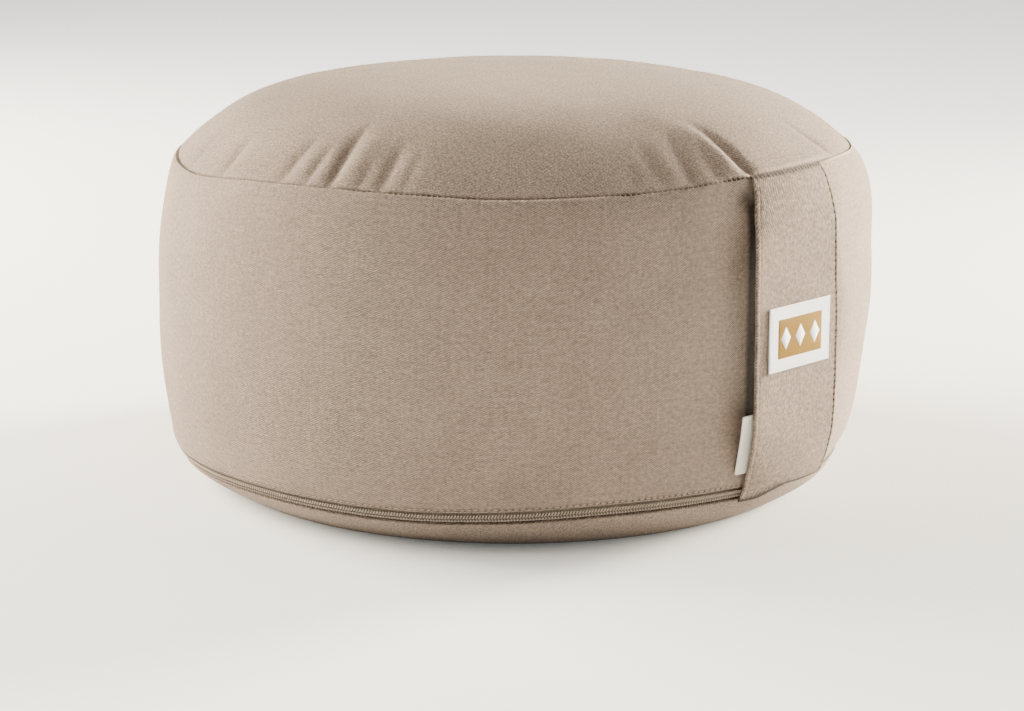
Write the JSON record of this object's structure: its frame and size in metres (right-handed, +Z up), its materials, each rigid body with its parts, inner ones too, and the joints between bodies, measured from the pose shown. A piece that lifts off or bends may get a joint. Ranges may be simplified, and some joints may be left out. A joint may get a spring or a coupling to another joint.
{
  "type": "round drum meditation cushion with a carrying strap",
  "caption": "Filled round floor cushion: crowned top panel, bulging side band, zipped lower seam, flat bottom, and a flat cloth strap sewn from seam to seam with a small label and a side tag.",
  "frame": {"origin": "centre of the flat face that the cushion rests on, on the drum's axis", "axes": "+Z up along the drum's axis, +X out through the middle of the carrying strap, +Y completes the right-handed frame"},
  "size_m": [0.3605, 0.3545, 0.1942],
  "materials": {
    "cover_cloth": "beige cotton twill, matt, fine diagonal rib",
    "strap_cloth": "the same beige cotton twill, folded double and stitched along both edges",
    "label_cloth": "pale woven label with a plain border, satin",
    "tag_ribbon": "white folded satin ribbon",
    "zip_tape_cloth": "woven tape in the shade of the seam",
    "zip_coil_nylon": "beige nylon coil, satin"
  },
  "bodies": {
    "root": {"cushion_body": "cover_cloth", "handle_strap": "strap_cloth", "label_patch": "label_cloth", "side_tag": "tag_ribbon", "zip_tape": "zip_tape_cloth", "zip_coil": "zip_coil_nylon"}
  },
  "joints": []
}
